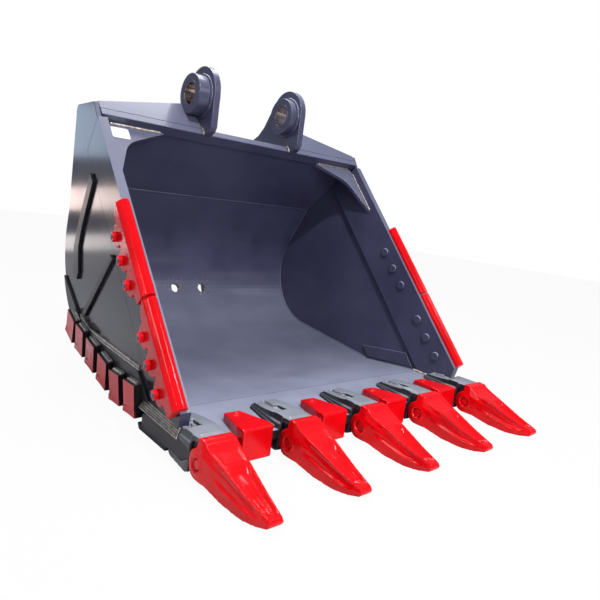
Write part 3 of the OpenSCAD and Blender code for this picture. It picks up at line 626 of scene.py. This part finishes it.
shroudShape = {"voxel": 0.0032, "smooth": 3}
guardShape = {"voxel": 0.0032, "smooth": 4}
for n, x in enumerate(toothX, 1):
    castPiece("tooth_%d" % n, "signalRed", toothShape, sculptTooth(x))
    castPiece("adapter_%d" % n, "anthraciteCast", adapterShape, sculptAdapter(x))
for n in range(1, layout["teeth"]):
    castPiece("lip_shroud_%d" % n, "signalRed", shroudShape)
for side in ("left", "right"):
    castPiece("guard_upper_" + side, "signalRed", guardShape)
    castPiece("guard_lower_" + side, "signalRed", guardShape)
    piece = platePiece("heel_shrouds_" + side, "signalRed", plateFinish["heelEdge"], 3)
    # Faces looking forward and up take the near-black paint: painted shade on the red blocks.
    paintFaces(piece, "anthraciteDark", lambda middle, out: (out[:, 1] < -0.5) | (out[:, 2] > 0.5))
print("castings done")

# Welds.
mouthLong, bowlDeep = 1.512, 1.024
bowl = {"seam": (0.020, 0.511), "centre": (0.3087 * mouthLong, 0.652), "radius": 0.372, "wrap": 0.025,
        "knuckle": (0.781 * mouthLong, 0.5235 * bowlDeep), "floorEnd": (0.9312 * mouthLong, 0.235), "steps": 40}


# Angle on the bowl's arc where a straight run from the point touches it.
def tangentAngle(point, sign):
    dp, dq = point[0] - bowl["centre"][0], point[1] - bowl["centre"][1]
    return math.atan2(dq, dp) + sign * math.acos(bowl["radius"] / math.hypot(dp, dq))


arcTop, arcLow = tangentAngle(bowl["seam"], -1) + 2 * math.pi, tangentAngle(bowl["knuckle"], 1)


# The inside line of the bowl as (p, q): seam, rolled back, knuckle, floor end.
def bowlLine():
    angle = np.linspace(arcTop, arcLow, bowl["steps"])
    arc = np.stack([bowl["centre"][0] + bowl["radius"] * np.cos(angle),
                    bowl["centre"][1] + bowl["radius"] * np.sin(angle)], -1)
    return np.vstack([[bowl["seam"]], arc, [bowl["knuckle"]], [bowl["floorEnd"]]])


# (p, q) of the centre frame carried to the toed-in side plate.
def onSide(inward, pq, side):
    pq = np.asarray(pq, float)
    t = layout["taper"]
    return sidePoint(inward, pq[:, 0], (pq[:, 1] + inward * math.sin(t)) / math.cos(t), side)


s0, c0 = math.sin(layout["lean"]), math.cos(layout["lean"])
downMouth, behind = np.array([0, -s0, -c0]), np.array([0, c0, -s0])
t0 = layout["taper"]


# Direction square to a side plate, into the bowl.
def inwardOf(side):
    return np.array([-side * math.cos(t0), -c0 * math.sin(t0), s0 * math.sin(t0)])


barFace, thin = layout["barThick"], layout["sideThick"]
gusset = {"q": 0.045, "tip": 0.535, "corner": 0.80, "down": (0.075, 0.375)}
brightInside, paintedInside = [], []
for side in (-1, 1):
    inward = inwardOf(side)
    # gusset: along the lip bar and down the side bar
    path = mouthPoint(np.linspace(side * gusset["tip"], side * gusset["corner"], 20), 0.043, gusset["q"])
    brightInside.append(beadRings(path, downMouth * 0.5 - behind, 0.015, 0.009))
    path = sidePoint(barFace, np.linspace(*gusset["down"], 20), gusset["q"] + 0.002, side)
    brightInside.append(beadRings(path, inward * 0.6 - behind, 0.013, 0.008))
    # wrapper and roof to the side plate
    line = bowlLine()
    towards = np.array([bowl["centre"][0] - 0.1, bowl["centre"][1] - 0.15]) - line
    run, _ = evenPath(onSide(thin, line, side), weldLook["step"])
    towards /= np.linalg.norm(towards, axis=1, keepdims=True)
    share, mark = np.linspace(0, 1, len(run)), np.linspace(0, 1, len(line))
    spread = np.stack([np.interp(share, mark, towards[:, k]) for k in (0, 1)], -1)
    out = inward[None] * 0.8 + spread[:, :1] * downMouth + spread[:, 1:] * behind
    paintedInside.append(beadRings(run, out, 0.012, 0.006))
    # step between the side bar and the thin plate
    path = sidePoint(thin + 0.004, np.linspace(0.14, 1.27, 40), layout["barWide"] + 0.004, side)
    paintedInside.append(beadRings(path, inward + behind * 0.8, 0.016, 0.007))
    # foot of the side bar on the lip, left bright
    path = np.array([[side * (halfWidth - barFace - 0.030), lipFront[0] + 0.345, lipFront[1] + 0.015],
                     [side * (halfWidth - barFace - 0.006), lipFront[0] + 0.115, lipFront[1] + 0.006]])
    brightInside.append(beadRings(path, (-side * 0.7, 0, 1), 0.016, 0.009))
# roof seam and lip seam, right across
across = np.linspace(-0.80, 0.80, 60)
path = mouthPoint(across, bowl["seam"][0] + 0.002, bowl["seam"][1] - 0.004)
paintedInside.append(beadRings(path, downMouth - behind, 0.010, 0.004))
path = mouthPoint(across, *bowl["floorEnd"]) + [0, 0, 0.0005]
paintedInside.append(beadRings(path, (0, 0, 1), 0.010, 0.0025))
joinRings("weldsBowl", paintedInside, "anthracite")
joinRings("weldsBowlBright", brightInside, "weldMetal")

# ears: rings round the bosses, runs on the roof plate and round the feet
earWeld = {"stickRing": 0.106, "linkRing": 0.098, "run": (0.058, 0.50),
           "footDown": (-0.003, -0.004, 0.0, 0.030, 0.042), "footBehind": (0.055, 0.010, -0.004, -0.004, 0.006)}
linkPin = frame["record"]["mounts"][1]["pos_m"]
earWelds, earBright = [], []
for node in ("ear_left", "ear_right"):
    low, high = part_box(node)
    for x, face in ((low[0], -1), (high[0], 1)):
        off, square = x + face * 0.001, np.array([face, 0, 0])
        earWelds.append(ringRings((off, 0, 0), earWeld["stickRing"], face, 0.017, 0.009))
        earWelds.append(ringRings((off, linkPin[1], linkPin[2]), earWeld["linkRing"], face, 0.015, 0.008))
        path = mouthPoint(x, -0.002, np.linspace(*earWeld["run"], 30))
        earWelds.append(beadRings(path, square - downMouth, 0.015, 0.009))
        path = mouthPoint(off, np.array(earWeld["footDown"]), np.array(earWeld["footBehind"]))
        earBright.append(beadRings(path, square - behind * 0.8, 0.015, 0.009))
joinRings("weldsEars", earWelds, "anthracite")
joinRings("weldsEarFeet", earBright, "weldMetal")


# (y, z) carried to the toed-in side plate's outer face, lifted off it.
def outerFace(yz, lift, side):
    yz = np.asarray(yz, float)
    dy, dz = yz[:, 0] - mouthTop[0], yz[:, 1] - mouthTop[1]
    p, q = -dy * s0 - dz * c0, dy * c0 - dz * s0
    return onSide(-lift, np.stack([p, q], -1), side)


floorEnd = mouthPoint(0, *bowl["floorEnd"])[1:]
centreYZ = mouthPoint(0, *bowl["centre"])[1:]
wearEdge = floorEnd + np.array([[0.150, 0.120], [0.840, 0.104], [1.010, 0.148]])
wearPasses = ((0.0015, 0.007), (0.016, 0.006))      # place above the wear plate's edge, bead height
lipPasses = 5
outsideBright = []
for side in (-1, 1):
    out = -inwardOf(side)
    for above, high in wearPasses:
        path = outerFace(wearEdge + [0, above], 0.002, side)
        outsideBright.append(beadRings(path, out + np.array([0, 0, 0.5]), 0.013, high))
    for k in range(lipPasses):      # side by side up the step from the lip to the side bar
        step = k / (lipPasses - 1)
        edge = halfWidth - 0.001
        path = np.array([
            [side * (edge - 0.020 * step), lipFront[0] + 0.420, lipFront[1] + 0.004 + 0.030 * step],
            [side * (edge - 0.011 * step), lipFront[0] + 0.095, lipFront[1] - 0.004 + 0.034 * step]])
        outsideBright.append(beadRings(path, (side, 0, 0.7), 0.0105, 0.008))
joinRings("weldsSides", outsideBright, "weldMetal")

heel = {"count": 6, "first": 0.155, "pitch": 0.187, "weldHalf": 0.057, "high": 0.110, "off": 0.012,
        "passes": ((0.004, 0.008), (0.014, 0.007))}     # place off the wear plate, bead height


# Place and direction at distance s along the outside of the floor, past the knuckle and up the arc.
def alongFloor(s):
    knuckle = mouthPoint(0, *bowl["knuckle"])[1:]
    v = (knuckle - floorEnd) / np.linalg.norm(knuckle - floorEnd)
    n = np.array([v[1], -v[0]])
    run0 = np.linalg.norm(knuckle - floorEnd)
    heelN = math.cos(arcLow) * downMouth[1:] + math.sin(arcLow) * behind[1:]
    heelV = np.array([-heelN[1], heelN[0]])
    corner = (heelN + n) / np.linalg.norm(heelN + n)
    cornerAt = knuckle + corner * bowl["wrap"] / (corner @ n)
    touch = centreYZ + heelN * (bowl["radius"] + bowl["wrap"])
    run1 = np.linalg.norm(touch - cornerAt)
    if s < run0:
        return floorEnd + n * bowl["wrap"] + v * s, v
    if s < run0 + run1:
        return cornerAt + heelV * (s - run0), heelV
    turn = (s - run0 - run1) / (bowl["radius"] + bowl["wrap"])
    r = np.array([[math.cos(turn), -math.sin(turn)], [math.sin(turn), math.cos(turn)]])
    return centreYZ + (r @ heelN) * (bowl["radius"] + bowl["wrap"]), r @ heelV


heelWelds = []
for side in (-1, 1):
    for k in range(heel["count"]):
        at, v = alongFloor(heel["first"] + k * heel["pitch"])
        n = np.array([-v[1], v[0]])
        ends = [at + n * (heel["high"] + 0.002) + v * along for along in (-heel["weldHalf"], heel["weldHalf"])]
        for lift, high in heel["passes"]:
            path = outerFace(ends, heel["off"] + lift, side)
            heelWelds.append(beadRings(path, -inwardOf(side) + np.r_[0, n], 0.015, high))
joinRings("weldsHeel", heelWelds, "weldMetal")

# adapters: one bead along each side of the top leg, left out where the side bar stands
adapterBead = {"back": np.array([0.225, 0.150, 0.020]), "across": np.array([0.050, 0.063, 0.076]),
               "lipSlope": layout["lipRise"] / 0.334, "clearBack": 0.79, "clearFront": 0.84}
adapterWelds = []
for x in toothX:
    for hand in (-1, 1):
        back = adapterBead["back"]
        height = lipFront[1] + back * adapterBead["lipSlope"] + 0.001
        path = np.stack([x + adapterBead["across"] * hand, lipFront[0] + back, height], -1)
        if abs(path[0, 0]) < adapterBead["clearBack"] and abs(path[2, 0]) < adapterBead["clearFront"]:
            adapterWelds.append(beadRings(path, (hand, 0, 1), 0.018, 0.011))
joinRings("weldsAdapters", adapterWelds, "anthraciteDark")

# Spatter round the drain holes.
spatter = {"holes": (-0.112, 0.084), "holeAngle": math.radians(-26), "count": 46, "reach": (0.034, 0.085),
           "size": (0.0012, 0.0032)}


# Small drops: spheres half sunk in the rolled back, scattered in a ring round each hole.
def spatterRings():
    drops = []
    lat = np.linspace(0, np.pi, 6)[:, None]
    lon = np.linspace(0, 2 * np.pi, 8, endpoint=False)[None]
    ball = np.stack(np.broadcast_arrays(np.sin(lat) * np.cos(lon), np.sin(lat) * np.sin(lon), np.cos(lat)), -1)
    for holeX in spatter["holes"]:
        for _ in range(spatter["count"]):
            turn, reach = chance.uniform(0, 2 * np.pi), chance.uniform(*spatter["reach"])
            size = chance.uniform(*spatter["size"])
            angle = spatter["holeAngle"] + reach * math.sin(turn) / bowl["radius"]
            normal = np.array([0, math.cos(angle), math.sin(angle)])
            centre = np.array([holeX + reach * math.cos(turn), *centreYZ]) + normal * bowl["radius"]
            drops.append(centre + ball * size)
    return drops


joinRings("weldSpatter", spatterRings(), "weldMetal")

# Blank label on the left gusset.
labelSet = {"x": (-0.800, -0.712), "p": (0.062, 0.128), "square": 0.22, "thick": 0.0008}


# A rounded rectangle as rings shrinking to a point, its rim turned back to the plate.
def makeLabel():
    turn = np.linspace(0, 2 * np.pi, 64, endpoint=False)
    ux = np.sign(np.cos(turn)) * np.abs(np.cos(turn)) ** labelSet["square"]
    up = np.sign(np.sin(turn)) * np.abs(np.sin(turn)) ** labelSet["square"]
    scale = np.array([0.0, 1.0, 1.0, 0.98, 0.5, 0.0])
    lift = np.array([0.0, 0.0, 0.7, 1.0, 1.0, 1.0]) * labelSet["thick"]
    cx, cp = np.mean(labelSet["x"]), np.mean(labelSet["p"])
    hx, hp = np.ptp(labelSet["x"]) / 2, np.ptp(labelSet["p"]) / 2
    x = cx + hx * scale[:, None] * ux
    p = cp + hp * scale[:, None] * up
    return mouthPoint(x, p, gusset["q"] - 0.0002 - lift[:, None])


joinRings("blankLabel", [makeLabel()], "labelWhite")
print("welds done")

# Stage.
stageSet = {"floor": (0.50, 0.50, 0.51), "floorRough": 0.9, "floorGlow": 0.95, "floorReach": 14.0,
            "backdrop": (1.0, 1.0, 1.0), "ambient": (0.25, 0.265, 0.34)}
lampSet = {
    "sky": {"place": (0.3, 1.3, 3.6), "aim": (0.0, -0.9, -1.2),
            "size": (3.4, 2.4), "power": 190, "colour": (0.96, 0.98, 1.0)},
    "front": {"place": (1.3, -4.8, 2.4), "aim": (0.1, -0.9, -1.1),
              "size": (2.4, 1.6), "power": 50, "colour": (1.0, 0.99, 0.98)},
    "fill": {"place": (-0.7, -4.8, 0.7), "aim": (0.6, -0.4, -0.8),
             "size": (1.6, 1.2), "power": 90, "colour": (0.95, 0.97, 1.0)},
    "left": {"place": (-4.6, -0.6, 1.2), "aim": (-0.9, -0.4, -0.9),
             "size": (1.2, 1.2), "power": 34, "colour": (1.0, 0.97, 0.95)},
    "sparkle": {"place": (-0.9, -3.6, 3.6), "aim": (-0.1, -1.0, -1.2),
                "size": (0.24, 0.24), "power": 240, "colour": (1.0, 1.0, 1.0)},
    # three far panels that the glossy left side mirrors as soft bands
    "coolBand": {"place": (-1.85, 4.0, -0.05), "aim": (-0.85, -0.1, -0.3),
                 "size": (1.3, 0.60), "power": 4.4, "colour": (0.62, 0.78, 1.0)},
    "warmBand": {"place": (-1.80, 4.0, -0.82), "aim": (-0.85, -0.1, -0.6),
                 "size": (1.3, 0.26), "power": 4.8, "colour": (1.0, 0.80, 0.74)},
    "paleBand": {"place": (-1.80, 4.0, -1.33), "aim": (-0.85, -0.1, -0.8),
                 "size": (1.3, 0.18), "power": 2.0, "colour": (1.0, 0.92, 0.90)},
}


def makeStage():
    low = cadBox[0][2]
    mesh = bpy.data.meshes.new("floor")
    far = stageSet["floorReach"]
    corners = [(-far, -far, low), (far, -far, low), (far, far, low), (-far, far, low)]
    mesh.from_pydata(corners, [], [(0, 1, 2, 3)])
    floor = bpy.data.objects.new("floor", mesh)
    bpy.context.scene.collection.objects.link(floor)
    mat = bpy.data.materials.new("floorPale")
    mat.use_nodes = True
    shader = mat.node_tree.nodes["Principled BSDF"]
    shader.inputs["Base Color"].default_value = stageSet["floor"] + (1,)
    shader.inputs["Roughness"].default_value = stageSet["floorRough"]
    seenFloor = mat.node_tree.nodes.new("ShaderNodeLightPath")
    glow = mat.node_tree.nodes.new("ShaderNodeEmission")     # evens out the floor for the camera only
    share = math2(mat.node_tree, "MULTIPLY", seenFloor.outputs["Is Camera Ray"], stageSet["floorGlow"])
    mix = mat.node_tree.nodes.new("ShaderNodeMixShader")
    mat.node_tree.links.new(share, mix.inputs[0])
    mat.node_tree.links.new(shader.outputs[0], mix.inputs[1])
    mat.node_tree.links.new(glow.outputs[0], mix.inputs[2])
    mat.node_tree.links.new(mix.outputs[0], mat.node_tree.nodes["Material Output"].inputs["Surface"])
    mesh.materials.append(mat)
    world = bpy.data.worlds.new("studio")
    bpy.context.scene.world = world
    world.use_nodes = True
    tree = world.node_tree
    soft = tree.nodes["Background"]
    soft.inputs["Color"].default_value = stageSet["ambient"] + (1,)
    wall = tree.nodes.new("ShaderNodeBackground")       # the pale backdrop, seen but not lighting
    wall.inputs["Color"].default_value = stageSet["backdrop"] + (1,)
    seen = tree.nodes.new("ShaderNodeLightPath")
    both = tree.nodes.new("ShaderNodeMixShader")
    tree.links.new(seen.outputs["Is Camera Ray"], both.inputs[0])
    tree.links.new(soft.outputs[0], both.inputs[1])
    tree.links.new(wall.outputs[0], both.inputs[2])
    tree.links.new(both.outputs[0], tree.nodes["World Output"].inputs["Surface"])
    for name, lampLook in lampSet.items():
        data = bpy.data.lights.new(name, "AREA")
        data.shape = "RECTANGLE"
        data.size, data.size_y = lampLook["size"]
        data.energy = lampLook["power"]
        data.color = lampLook["colour"]
        lamp = bpy.data.objects.new(name, data)
        bpy.context.scene.collection.objects.link(lamp)
        lamp.location = lampLook["place"]
        ahead = Vector(lampLook["aim"]) - Vector(lampLook["place"])
        lamp.rotation_euler = ahead.to_track_quat("-Z", "Y").to_euler()
        lamp.visible_camera = False


makeStage()
bpy.context.scene.view_settings.view_transform = "Standard"
print("stage done")
